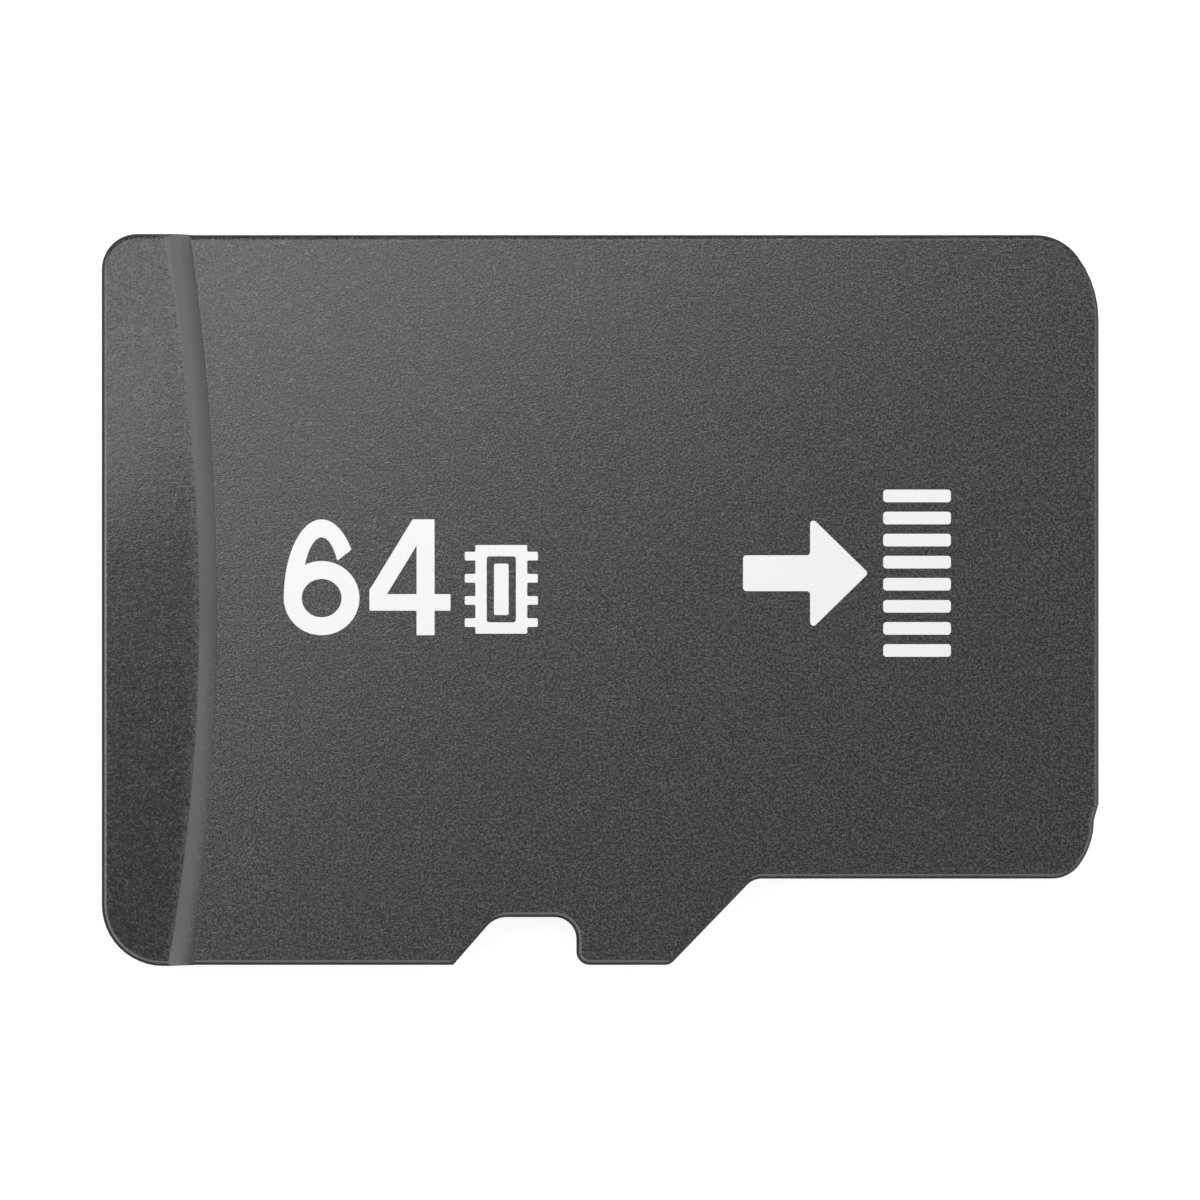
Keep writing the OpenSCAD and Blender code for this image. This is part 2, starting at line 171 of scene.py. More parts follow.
class Finish(Graph):
    """The node tree of one material."""

    def __init__(self, name: str) -> None:
        """Starts an empty material with that name."""
        self.material = bpy.data.materials.new(name)
        self.material.use_nodes = True
        super().__init__(self.material.node_tree)

    def place(self, stretch: Place = (1.0, 1.0, 1.0)) -> Wire:
        """Object coordinates in millimetres, stretched along each axis."""
        scale = tuple(1 / MM / part for part in stretch)
        coordinates = self.node("ShaderNodeTexCoord", output="Object")
        return self.node("ShaderNodeMapping", {"Vector": coordinates, "Scale": scale})

    def axes(self, vector: Wire) -> tuple[Wire, Wire, Wire]:
        """The three parts of a vector."""
        split = self.node("ShaderNodeSeparateXYZ", {0: vector}).socket.node
        return tuple(Wire(self, socket) for socket in split.outputs)

    def facing(self) -> tuple[Wire, Wire, Wire]:
        """The parts of the surface's own direction, before any bump."""
        return self.axes(self.node("ShaderNodeTexCoord", output="Normal"))

    def beyond(self, middle: Point, radius: float) -> Wire:
        """How far a place lies outside an upright cylinder.

        Args:
            middle: The cylinder's middle, in millimetres.
            radius: Its radius.

        Returns:
            The distance in millimetres, below zero inside.
        """
        level = {0: self.place(), 1: (1.0, 1.0, 0.0)}
        flat = self.node("ShaderNodeVectorMath", level, operation="MULTIPLY")
        ends = {0: flat, 1: (*middle, 0.0)}
        return self.node("ShaderNodeVectorMath", ends, "Value", operation="DISTANCE") - radius

    def noise(self, where: Wire, size: float, detail: float = 2.0, roughness: float = 0.5) -> Wire:
        """Soft noise from 0 to 1.

        Args:
            where: Coordinates in millimetres.
            size: Size of one blot in millimetres.
            detail: Number of finer layers.
            roughness: Weight of the finer layers.

        Returns:
            The noise.
        """
        sockets = {"Vector": where, "Scale": 1 / size, "Detail": detail, "Roughness": roughness}
        return self.node("ShaderNodeTexNoise", sockets)

    def mix(self, share: Wire | float, first: Wire | Colour, second: Wire | Colour) -> Wire:
        """A colour between two others."""
        return self.node("ShaderNodeMix", {0: share, 6: first, 7: second}, 2, data_type="RGBA")

    def relief(self, height: Wire, depth: float, below: Wire | None = None) -> Wire:
        """A bumped normal.

        Args:
            height: The height, in shares of the depth.
            depth: What a height of 1 stands for, in millimetres.
            below: A normal that this relief lies on.

        Returns:
            The normal.
        """
        sockets = {"Height": height, "Distance": depth * MM, "Strength": 1.0}
        if below is not None:
            sockets["Normal"] = below
        return self.node("ShaderNodeBump", sockets)

    def surface(self, sockets: dict[str | int, object]) -> Material:
        """Ends the tree in one Principled shader.

        Args:
            sockets: The shader's values and links.

        Returns:
            The finished material.
        """
        shader = self.node("ShaderNodeBsdfPrincipled", sockets)
        self.node("ShaderNodeOutputMaterial", {"Surface": shader})
        return self.material


class Areas:
    """Where each look of the moulding shows, as masks from 0 to 1, and the grip's lean."""

    def __init__(self, finish: Finish, look: "MouldedResin") -> None:
        """Finds the areas from places on the card and from the surface's own direction.

        Args:
            finish: The material under construction.
            look: The sizes of the areas.
        """
        _, y, _ = finish.axes(finish.place())
        along, across, up = finish.facing()
        past_edge = finish.beyond(*look.slope_edge)
        past_foot = finish.beyond(*look.slope_foot)
        hollow = y.step(*look.hollow_fade)
        notched_end = y.step(*look.notched_end_fade)
        off_lip = past_edge.step(*look.slope_edge_fade)
        slope = off_lip * past_foot.step(*look.slope_foot_fade) * up.step(*look.slope_up_fade)
        slope_rim = abs(across).step(*look.slope_rim_fade) * slope
        turned = (along + across).step(*look.rim_highlight_fade) * up.step(*look.rim_highlight_up_fade)
        # The slope: smoother, less grained and paler, the paleness a painted sheen; towards the
        # notched side it fades out before the foot
        self.soft = slope * (1 - hollow * past_foot.step(*look.grained_fade))
        # A painted highlight along the slope's upper edge, on its half towards the notched side
        self.wear_and_highlight = past_edge.step(*look.slope_highlight_fade) * slope * hollow
        self.foot = past_foot.step(*look.foot_fade) * slope * hollow
        self.lip = 1 - off_lip
        # The grip's top towards the notched side: glossier, calmer, and darker as painted shade
        self.handled_and_shaded = self.lip * notched_end
        # A painted highlight along the grip's edge by the slope, towards the notched side
        self.lip_edge_highlight = past_edge.step(*look.lip_edge_highlight_fade) * self.handled_and_shaded
        # The rounded rim: matt, calmer, and darker as painted shade
        self.rim = up.step(*look.rim_fade) * (1 - slope) + slope_rim
        # A painted highlight line on the rim where it faces the rear and the notched side
        self.rim_highlight = turned * (1 - slope)
        self.wall = up.step(*look.wall_fade)
        self.lean = past_edge.math("MINIMUM", 0.0) * notched_end * -look.lip_lean


@dataclass(frozen=True)
class MouldedResin:
    """Dark resin from a blasted mould.

    The grip's slope comes from a smoother part of the mould and is paler as a painted sheen, with a
    painted highlight along its upper edge on its half towards the notched side. The grip's top is
    polished by fingers towards the notched side, where it is glossier and has a painted highlight
    along its edge by the slope. The rim has a painted highlight line where it faces the rear and the
    notched side, and the edge is cut, so that it is matt and has upright marks.

    An area's fade says where it begins and where it is whole, in millimetres past a curve of the
    slope or along Y, or as a part of the surface's direction. The rim and the grip's top towards the
    notched side are calmer, with less grain, and darker with painted shade.
    """

    pale: Colour = grey(0.085, 0.12)
    dark: Colour = grey(0.006, 0.12)
    # The slope's paler colour, a painted sheen
    smooth: Colour = grey(0.1, 0.08)
    # The colour of the painted highlights on the slope's upper edge and on the rim's line
    wear_and_highlight: Colour = grey(0.145, 0.08)

    roughness: float = 0.335
    edge_roughness: float = 0.85
    slope_roughness: float = 0.46
    foot_roughness: float = 0.85
    handled_roughness: float = 0.31

    # The two curves of the grip's slope, each with its middle and its radius
    slope_edge: tuple[Point, float] = ((-36.03, -0.2), 30.0)
    slope_foot: tuple[Point, float] = ((-45.78, -0.2), 40.0)
    slope_edge_fade: Point = (-0.01, 0.01)
    slope_foot_fade: Point = (0.03, -0.03)
    slope_up_fade: Point = (0.1, 0.3)
    hollow_fade: Point = (1.0, -1.5)
    grained_fade: Point = (-0.4, 0.0)
    slope_highlight_fade: Point = (0.42, -0.12)
    foot_fade: Point = (-0.36, -0.02)
    notched_end_fade: Point = (4.5, 0.6)
    lip_edge_highlight_fade: Point = (-0.18, 0.03)
    rim_fade: Point = (0.88, 0.62)
    slope_rim_fade: Point = (0.3, 0.6)
    rim_highlight_fade: Point = (-0.1, -0.24)
    rim_highlight_up_fade: Point = (0.8, 0.9)
    wall_fade: Point = (0.35, 0.1)
    lip_lean: float = 0.13

    grain: float = 0.041
    grain_depth: float = 0.007
    grain_shade: float = 3.4
    grain_matt: float = 0.3
    fine_share: float = 0.4
    slope_grain: float = 0.5
    lip_grain: float = 0.45
    calm: float = 0.6
    speck_size: float = 0.04
    speck_fade: Point = (0.68, 0.78)
    speck_shade: float = 0.8
    speck_gloss: float = 0.08
    cloud_size: float = 2.4
    cloud_shade: float = 0.08
    mark_stretch: Place = (0.03, 0.03, 1.5)
    mark_shade: float = 0.5
    mark_height: float = 0.4
    base_shade: float = 0.28
    # Painted shade on the rim and on the grip's top towards the notched side
    dim: float = 0.2
    lip_edge_highlight_lift: float = 0.45
    slope_sheen_cover: float = 0.8

    def build(self) -> Material:
        """Makes the material."""
        finish = Finish("moulded_resin")
        where = finish.place()
        areas = Areas(finish, self)
        coarse = finish.noise(where, self.grain, 1.0)
        fine = finish.noise(where, self.grain / 2, 0.0)
        blast = coarse * (1 - self.fine_share) + fine * self.fine_share - 0.5
        amount = (1 - areas.soft * (1 - self.slope_grain)) * (1 - areas.rim * self.calm)
        amount = amount * (1 + areas.lip * self.lip_grain - areas.handled_and_shaded * self.calm)
        grain = blast * amount
        cloud = finish.noise(where, self.cloud_size) - 0.5
        speck = finish.noise(where, self.speck_size, 0.0).step(*self.speck_fade) * amount
        marks = (finish.noise(finish.place(self.mark_stretch), 1.0, 1.0) - 0.5) * areas.wall

        shade = grain * self.grain_shade + cloud * self.cloud_shade + speck * self.speck_shade
        # The grip's edge by the slope gets a painted highlight, and the rim and the grip's top
        # towards the notched side a painted shade
        shade = shade + marks * self.mark_shade + areas.lip_edge_highlight * self.lip_edge_highlight_lift
        shade = shade - (areas.handled_and_shaded + areas.rim) * self.dim
        grain_and_painted_light = finish.mix(shade + self.base_shade, self.dark, self.pale)
        # The slope's colour is lifted towards a paler grey as a painted sheen
        with_slope_sheen = finish.mix(areas.soft * self.slope_sheen_cover, grain_and_painted_light, self.smooth)
        # Where the painted highlights go: the slope's upper edge and the rim's line
        wear_and_highlight = (areas.wear_and_highlight * (1 - areas.rim)).math("MAXIMUM", areas.rim_highlight)
        height = (grain + marks * self.mark_height) * self.grain_depth + areas.lean
        matt = grain * self.grain_matt - speck * self.speck_gloss + self.roughness
        matt = matt + areas.soft * (self.slope_roughness - self.roughness)
        matt = matt + areas.handled_and_shaded * (self.handled_roughness - self.roughness)
        matt = matt + areas.foot * (self.foot_roughness - self.slope_roughness)
        return finish.surface(
            {
                "Base Color": finish.mix(wear_and_highlight, with_slope_sheen, self.wear_and_highlight),
                "Roughness": matt + areas.rim * (self.edge_roughness - self.roughness),
                "IOR": 1.6,
                "Normal": finish.relief(height, 1.0),
            }
        )


@dataclass(frozen=True)
class CutLaminate:
    """The cut edge of a glass laminate: pale woven bundles in dark resin."""

    resin: Colour = (0.022, 0.021, 0.016, 1.0)
    glass: Colour = (0.07, 0.065, 0.042, 1.0)
    bundle_pitch: float = 0.36
    weave_height: float = 0.028
    middle: float = 0.11
    band_fade: Point = (0.05, 0.02)
    fibre_stretch: Place = (0.5, 0.5, 0.008)
    fibre_share: float = 0.8
    fibre_depth: float = 0.002
    patch_stretch: Place = (0.8, 0.8, 2.0)
    patch_fade: Point = (0.35, 0.65)
    patch_share: float = 0.7
    least_glass: float = 0.3
    roughness: float = 0.62
    glass_gloss: float = 0.12

    def build(self) -> Material:
        """Makes the material."""
        finish = Finish("cut_laminate")
        x, y, z = finish.axes(finish.place())
        sway = ((x + y) * (2 * math.pi / self.bundle_pitch)).math("SINE")
        off = abs(z - self.middle - sway * self.weave_height)
        fibres = finish.noise(finish.place(self.fibre_stretch), 1.0)
        patches = finish.noise(finish.place(self.patch_stretch), 1.0).step(*self.patch_fade)
        seen = fibres * self.fibre_share + self.least_glass
        lit = patches * self.patch_share + self.least_glass
        band = off.step(*self.band_fade) * seen * lit
        return finish.surface(
            {
                "Base Color": finish.mix(band, self.resin, self.glass),
                "Roughness": self.roughness - band * self.glass_gloss,
                "IOR": 1.5,
                "Normal": finish.relief(fibres, self.fibre_depth),
            }
        )


@dataclass(frozen=True)
class GlassBundle:
    """The cut end of one bundle of glass fibres."""

    pale: Colour = (0.085, 0.08, 0.055, 1.0)
    dark: Colour = (0.035, 0.033, 0.024, 1.0)
    fibre_size: float = 0.012
    fibre_fade: Point = (0.3, 0.7)
    fibre_depth: float = 0.001
    patch_size: float = 0.9
    patch_fade: Point = (0.35, 0.65)
    roughness: float = 0.45
    fibre_matt: float = 0.2

    def build(self) -> Material:
        """Makes the material."""
        finish = Finish("glass_bundle")
        fibres = finish.noise(finish.place(), self.fibre_size, 1.0)
        patches = finish.noise(finish.place(), self.patch_size).step(*self.patch_fade)
        share = fibres.step(*self.fibre_fade) * patches
        return finish.surface(
            {
                "Base Color": finish.mix(share, self.dark, self.pale),
                "Roughness": fibres * self.fibre_matt + self.roughness,
                "IOR": 1.52,
                "Normal": finish.relief(fibres, self.fibre_depth),
            }
        )


@dataclass(frozen=True)
class SolderMask:
    """Black satin solder mask with the weave of the laminate faintly under it."""

    colour: Colour = (0.0105, 0.0115, 0.0112, 1.0)
    wear_and_highlight: Colour = (0.021, 0.022, 0.021, 1.0)
    roughness: float = 0.3
    weave_pitch: float = 0.36
    weave_depth: float = 0.0012
    peel_size: float = 0.14
    peel_depth: float = 0.0008
    peel_matt: float = 0.12
    wipe_stretch: Place = (2.2, 0.05, 1.0)
    wipe_fade: Point = (0.55, 0.75)
    wipe_cover: float = 0.4
    wipe_matt: float = 0.08

    def build(self) -> Material:
        """Makes the material."""
        finish = Finish("solder_mask")
        where = finish.place()
        x, y, _ = finish.axes(where)
        turn = 2 * math.pi / self.weave_pitch
        weave = (x * turn).math("SINE") * (y * turn).math("SINE")
        peel = finish.noise(where, self.peel_size)
        wiped = finish.noise(finish.place(self.wipe_stretch), 1.0, 3.0).step(*self.wipe_fade)
        skin = finish.relief(weave * 0.5 + 0.5, self.weave_depth)
        return finish.surface(
            {
                "Base Color": finish.mix(wiped * self.wipe_cover, self.colour, self.wear_and_highlight),
                "Roughness": peel * self.peel_matt + self.roughness + wiped * self.wipe_matt,
                "IOR": 1.5,
                "Normal": finish.relief(peel, self.peel_depth, skin),
            }
        )


@dataclass(frozen=True)
class Metal:
    """A plated or drawn metal, with wiping marks along one direction."""

    name: str
    pale: Colour
    dark: Colour
    roughness: float
    stroke: Place = (1.5, 0.02, 0.2)
    stroke_depth: float = 0.0006
    stroke_matt: float = 0.18
    stain_size: float = 0.5
    stain_fade: Point = (0.3, 0.7)
    stain_matt: float = 0.1
    crystal_size: float = 0.012
    crystal_share: float = 0.3

    def build(self) -> Material:
        """Makes the material."""
        finish = Finish(self.name)
        strokes = finish.noise(finish.place(self.stroke), 1.0, 3.0, 0.6)
        stain = finish.noise(finish.place(), self.stain_size, 3.0)
        crystals = finish.noise(finish.place(), self.crystal_size, 1.0)
        height = strokes * (1 - self.crystal_share) + crystals * self.crystal_share
        matt = (strokes - 0.5) * self.stroke_matt + (stain - 0.5) * self.stain_matt
        return finish.surface(
            {
                "Base Color": finish.mix(stain.step(*self.stain_fade), self.dark, self.pale),
                "Roughness": matt + self.roughness,
                "Metallic": 1.0,
                "Normal": finish.relief(height, self.stroke_depth),
            }
        )


@dataclass(frozen=True)
class Silicon:
    """A ground and polished die, blue-grey, with a faint grid of circuit blocks."""

    colour: Colour = (0.075, 0.08, 0.095, 1.0)
    blocks: Colour = (0.13, 0.125, 0.12, 1.0)
    block_size: Place = (0.9, 0.35, 1.0)
    block_fade: Point = (0.46, 0.4)
    row_stretch: Place = (0.9, 0.03, 1.0)
    roughness: float = 0.16
    row_matt: float = 0.1
    metallic: float = 0.35

    def build(self) -> Material:
        """Makes the material."""
        finish = Finish("silicon")
        sockets = {"Vector": finish.place(self.block_size), "Scale": 1.0, "Randomness": 0.0}
        block = finish.node("ShaderNodeTexVoronoi", sockets, distance="CHEBYCHEV")
        rows = finish.noise(finish.place(self.row_stretch), 1.0, 1.0)
        lit = block.step(*self.block_fade) * (rows * 0.5 + 0.5)
        return finish.surface(
            {
                "Base Color": finish.mix(lit, self.colour, self.blocks),
                "Roughness": rows * self.row_matt + self.roughness,
                "Metallic": self.metallic,
                "IOR": 3.5,
            }
        )


@dataclass(frozen=True)
class PlainStuff:
    """A matt material of one kind with a cloudy colour and a fine grain."""

    name: str
    pale: Colour
    dark: Colour
    roughness: float
    grain: float
    depth: float
    cloud_scale: float = 14.0
    grain_share: float = 0.6
    grain_matt: float = 0.2

    def build(self) -> Material:
        """Makes the material."""
        finish = Finish(self.name)
        where = finish.place()
        grain = finish.noise(where, self.grain)
        cloud = finish.noise(where, self.grain * self.cloud_scale)
        share = grain * self.grain_share + cloud * (1 - self.grain_share)
        return finish.surface(
            {
                "Base Color": finish.mix(share, self.dark, self.pale),
                "Roughness": (grain - 0.5) * self.grain_matt + self.roughness,
                "IOR": 1.5,
                "Normal": finish.relief(grain, self.depth),
            }
        )


class Slot(Enum):
    """The record's material slots."""

    RESIN = "resin"
    LAMINATE = "laminate"
    SOLDER_MASK = "solder_mask"
    CONTACT_GOLD = "contact_gold"
    COPPER = "copper"
    SILICON = "silicon"
    ATTACH_FILM = "attach_film"
    BOND_GOLD = "bond_gold"
    CERAMIC = "ceramic"
    TIN = "tin"
    PRINT_INK = "print_ink"


def slot_finishes() -> dict[Slot, Material]:
    """Builds the material of every slot."""
    gold = Metal("contact_gold", (0.87, 0.64, 0.27, 1.0), (0.74, 0.5, 0.19, 1.0), 0.27)
    copper = Metal("copper", (0.76, 0.41, 0.25, 1.0), (0.6, 0.29, 0.17, 1.0), 0.35)
    bond = Metal("bond_gold", (0.88, 0.66, 0.3, 1.0), (0.8, 0.56, 0.22, 1.0), 0.22, (0.3, 0.3, 0.3))
    tin = Metal("tin", (0.63, 0.63, 0.65, 1.0), (0.5, 0.5, 0.52, 1.0), 0.45, (0.05, 0.05, 0.05))
    film = PlainStuff("attach_film", (0.6, 0.5, 0.3, 1.0), (0.5, 0.4, 0.2, 1.0), 0.4, 0.05, 0.0005)
    ceramic = PlainStuff(
        "fired_ceramic", (0.36, 0.23, 0.14, 1.0), (0.26, 0.16, 0.09, 1.0), 0.5, 0.02, 0.0008
    )
    ink = PlainStuff("print_ink", grey(0.95), grey(0.9), 0.75, 0.05, 0.0006)
    makers = {
        Slot.RESIN: MouldedResin(),
        Slot.LAMINATE: CutLaminate(),
        Slot.SOLDER_MASK: SolderMask(),
        Slot.CONTACT_GOLD: gold,
        Slot.COPPER: copper,
        Slot.SILICON: Silicon(),
        Slot.ATTACH_FILM: film,
        Slot.BOND_GOLD: bond,
        Slot.CERAMIC: ceramic,
        Slot.TIN: tin,
        Slot.PRINT_INK: ink,
    }
    return {slot: maker.build() for slot, maker in makers.items()}


def geometry_tree(name: str) -> NodeTree:
    """A new tree that takes a geometry and gives one."""
    tree = bpy.data.node_groups.new(name, "GeometryNodeTree")
    for way in ("INPUT", "OUTPUT"):
        tree.interface.new_socket("Geometry", in_out=way, socket_type="NodeSocketGeometry")
    return tree


class Recipe(Graph):
    """A geometry node tree with named inputs, evaluated once into a plain mesh in millimetres."""

    def __init__(self, name: str, material: Material, sizes: dict[str, float | int]) -> None:
        """Starts a tree that takes a geometry and some sizes.

        Args:
            name: The tree's name.
            material: The finish of what it makes.
            sizes: The named inputs and their values. A whole number makes an integer input.
        """
        super().__init__(geometry_tree(name))
        self.material = material
        self.values = {}
        for label, value in sizes.items():
            kind = "NodeSocketInt" if isinstance(value, int) else "NodeSocketFloat"
            socket = self.tree.interface.new_socket(label, in_out="INPUT", socket_type=kind)
            self.values[socket.identifier] = value
        self.entry = self.tree.nodes.new("NodeGroupInput")

    def size(self, label: str) -> Wire:
        """One of the named inputs."""
        return Wire(self, self.entry.outputs[label])

    def finish(self, geometry: Wire) -> None:
        """Ends the tree: instances become real, and everything takes the material."""
        real = self.node("GeometryNodeRealizeInstances", {"Geometry": geometry})
        sockets = {"Geometry": real, "Material": self.material}
        dressed = self.node("GeometryNodeSetMaterial", sockets)
        self.node("NodeGroupOutput", {"Geometry": dressed})

    def run(self, source: Object) -> Mesh:
        """Evaluates the tree on an object.

        Args:
            source: The object whose geometry goes in. It is removed afterwards.

        Returns:
            The result as a mesh of its own, in millimetres.
        """
        modifier = source.modifiers.new(self.tree.name, "NODES")
        modifier.node_group = self.tree
        for identifier, value in self.values.items():
            modifier[identifier] = value
        graph = bpy.context.evaluated_depsgraph_get()
        mesh = bpy.data.meshes.new_from_object(source.evaluated_get(graph))
        source.modifiers.remove(modifier)
        bpy.data.objects.remove(source)
        only_material(mesh, self.material)
        return mesh


def add_object(name: str, data: ID) -> Object:
    """Adds an object with that data to the scene."""
    thing = bpy.data.objects.new(name, data)
    bpy.context.scene.collection.objects.link(thing)
    return thing


def only_material(mesh: Mesh, material: Material) -> None:
    """Gives a whole mesh one material."""
    mesh.materials.clear()
    mesh.materials.append(material)
    for polygon in mesh.polygons:
        polygon.material_index = 0


def add_piece(name: str, mesh: Mesh) -> Object:
    """Turns a mesh in millimetres into a piece of the card.

    Args:
        name: The piece's name.
        mesh: Its mesh, in millimetres, with its material.

    Returns:
        The piece, which rides on the card's only body.
    """
    mesh.name = name
    mesh.transform(Matrix.Scale(MM, 4))
    piece = add_object(name, mesh)
    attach(piece, BODY)
    log.info("%s: %d faces", name, len(mesh.polygons))
    return piece


def join_meshes(meshes: list[Mesh]) -> Mesh:
    """Puts several meshes into the first one's name and material."""
    whole = bmesh.new()
    for mesh in meshes:
        whole.from_mesh(mesh)
    joined = bpy.data.meshes.new(meshes[0].name)
    whole.to_mesh(joined)
    whole.free()
    only_material(joined, meshes[0].materials[0])
    return joined


@dataclass
class PackedCard:
    """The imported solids: their outlines and their finishes."""

    nodes: dict[str, Object]
    slots: dict[str, str]
    smooth_angle: float = 32.0
    flat_angle: float = 0.05
    rim_angle: float = 60.0
    rim_slack: float = 0.001

    def dress(self, finishes: dict[Slot, Material]) -> None:
        """Gives every node its slot's finish, and smooth shading over its rounded edges.

        Args:
            finishes: The material of each slot.
        """
        for name, node in self.nodes.items():
            node.data.materials.clear()
            node.data.materials.append(finishes[Slot(self.slots[name])])
            self._round_shading(node)
            log.info("%s: %s", name, self.slots[name])

    def _round_shading(self, node: Object) -> None:
        """Welds a node's triangles as they are shown, and weights its normals by face."""
        for polygon in node.data.polygons:
            polygon.use_smooth = True
        weld = node.modifiers.new("weld", "WELD")
        weld.merge_threshold = WELD
        flat = node.modifiers.new("flat", "DECIMATE")
        flat.decimate_type = "DISSOLVE"
        flat.angle_limit = math.radians(self.flat_angle)
        smooth = node.modifiers.new("smooth", "NODES")
        smooth.node_group = smooth_by_angle(self.smooth_angle)
        weighted = node.modifiers.new("weighted", "WEIGHTED_NORMAL")
        weighted.keep_sharp = True

    def outline(self, node: str) -> list[Point]:
        """The outer edge of a flat node, seen from above.

        Args:
            node: The node's name.

        Returns:
            The points of its longest loop at the top, in millimetres, in order.
        """
        mesh = bmesh.new()
        mesh.from_mesh(self.nodes[node].data)
        bmesh.ops.remove_doubles(mesh, verts=mesh.verts, dist=WELD)
        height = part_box(node)[1].z
        rim = [edge for edge in mesh.edges if self._is_rim(edge, height)]
        loops = self._loops(rim)
        longest = max(loops, key=lambda loop: sum((a - b).length for a, b in zip(loop, loop[1:])))
        mesh.free()
        return [(point.x / MM, point.y / MM) for point in longest]

    def _is_rim(self, edge: bmesh.types.BMEdge, height: float) -> bool:
        """Whether an edge lies at the top and parts the top face from a wall."""
        level = all(abs(vert.co.z - height) < self.rim_slack * MM for vert in edge.verts)
        closed = len(edge.link_faces) == 2
        return level and closed and edge.calc_face_angle(0.0) > math.radians(self.rim_angle)

    def _loops(self, edges: list[bmesh.types.BMEdge]) -> list[list[Vector]]:
        """Walks edges that form closed loops, from the same edge in every run."""
        left = list(edges)
        loops = []
        while left:
            edge = left.pop()
            start, here = edge.verts
            loop = [start.co.copy(), here.co.copy()]
            while here is not start:
                edge = next((e for e in here.link_edges if e in left), None)
                if edge is None:
                    break
                left.remove(edge)
                here = edge.other_vert(here)
                loop.append(here.co.copy())
            loops.append(loop[:-1])
        return loops


def smooth_by_angle(degrees: float) -> NodeTree:
    """A geometry tree that marks edges sharper than an angle as sharp."""
    name = "smooth_by_angle"
    if name in bpy.data.node_groups:
        return bpy.data.node_groups[name]
    tree = geometry_tree(name)
    graph = Graph(tree)
    entry = graph.node("NodeGroupInput")
    angle = graph.node("GeometryNodeInputMeshEdgeAngle")
    sharp = angle.math("GREATER_THAN", math.radians(degrees))
    sockets = {"Geometry": entry, "Shade Smooth": 1 - sharp}
    shaded = graph.node("GeometryNodeSetShadeSmooth", sockets, domain="EDGE")
    graph.node("NodeGroupOutput", {"Geometry": shaded})
    return tree


@dataclass
class GlassEdge:
    """The cut ends of the glass bundles that show along the laminate's straight walls.

    The gap at a corner is in lengths of an end, and the shortest wall with ends is in pitches.
    """

    card: PackedCard
    material: Material
    pitch: float = 0.36
    length: float = 0.23
    height: float = 0.036
    depth: float = 0.006
    rows: int = 2
    corner_gap: float = 0.75
    shortest_wall: float = 1.5
    spread: Point = (0.75, 1.2)
    seed: int = 7
    segments: int = 12
    rings: int = 8

    def build(self) -> None:
        """Adds the bundle ends all round the card."""
        walls = self._walls(self.card.outline("substrate_core"))
        low, high = (corner.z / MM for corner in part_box("substrate_core"))
        meshes = []
        for row in range(self.rows):
            level = low + (high - low) * (row + 0.5) / self.rows
            meshes.append(self._row(self._paths(walls, level, row * self.pitch / 2)))
        add_piece("glass_bundles", join_meshes(meshes))

    def _walls(self, outline: list[Point]) -> list[tuple[Vector, Vector]]:
        """Finds the straight walls.

        Args:
            outline: The laminate's outline, in millimetres.

        Returns:
            The walls' ends, clear of the corners.
        """
        walls = []
        for first, last in zip(outline, outline[1:] + outline[:1]):
            start, end = Vector(first), Vector(last)
            gap = (end - start).normalized() * self.length * self.corner_gap
            if (end - start).length > self.pitch * self.shortest_wall:
                walls.append((start + gap, end - gap))
        return walls

    def _paths(self, walls: list[tuple[Vector, Vector]], level: float, shift: float) -> Object:
        """A straight line along each wall.

        Args:
            walls: The walls' ends.
            level: The height of the lines.
            shift: How far past a wall's start its line begins.

        Returns:
            A curve object with the lines.
        """
        curve = bpy.data.curves.new("wall_paths", "CURVE")
        curve.dimensions = "3D"
        for start, end in walls:
            moved = start + (end - start).normalized() * shift
            spline = curve.splines.new("POLY")
            spline.points.add(1)
            for point, corner in zip(spline.points, (moved, end)):
                point.co = (corner.x, corner.y, level, 1.0)
        return add_object("wall_paths", curve)

    def _row(self, paths: Object) -> Mesh:
        """Makes one row of ends, each a ball one unit across that is stretched.

        Args:
            paths: The lines that the ends stand on. They are removed.

        Returns:
            The row, in millimetres.
        """
        ball_size = {"Length": self.length, "Depth": self.depth, "Height": self.height}
        recipe = Recipe("bundle_row", self.material, {"Pitch": self.pitch, **ball_size})
        path = Wire(recipe, recipe.entry.outputs["Geometry"])
        sockets = {"Curve": path, "Length": recipe.size("Pitch")}
        spaced = recipe.node("GeometryNodeCurveToPoints", sockets, mode="LENGTH")
        tangent = Wire(recipe, spaced.socket.node.outputs["Tangent"])
        aim = {"axis": "X", "pivot_axis": "Z"}
        turned = recipe.node("FunctionNodeAlignRotationToVector", {"Vector": tangent}, **aim)
        sockets = {"Segments": self.segments, "Rings": self.rings, "Radius": 0.5}
        ball = recipe.node("GeometryNodeMeshUVSphere", sockets)
        sockets = {number: recipe.size(label) for number, label in enumerate(ball_size)}
        scale = recipe.node("ShaderNodeCombineXYZ", sockets)
        low, high = self.spread
        sockets = {2: low, 3: high, "Seed": self.seed}
        chance = recipe.node("FunctionNodeRandomValue", sockets, 1, data_type="FLOAT")
        sockets = {0: scale, "Scale": chance}
        size = recipe.node("ShaderNodeVectorMath", sockets, operation="SCALE")
        sockets = {"Points": spaced, "Instance": ball, "Rotation": turned, "Scale": size}
        recipe.finish(recipe.node("GeometryNodeInstanceOnPoints", sockets))
        return recipe.run(paths)


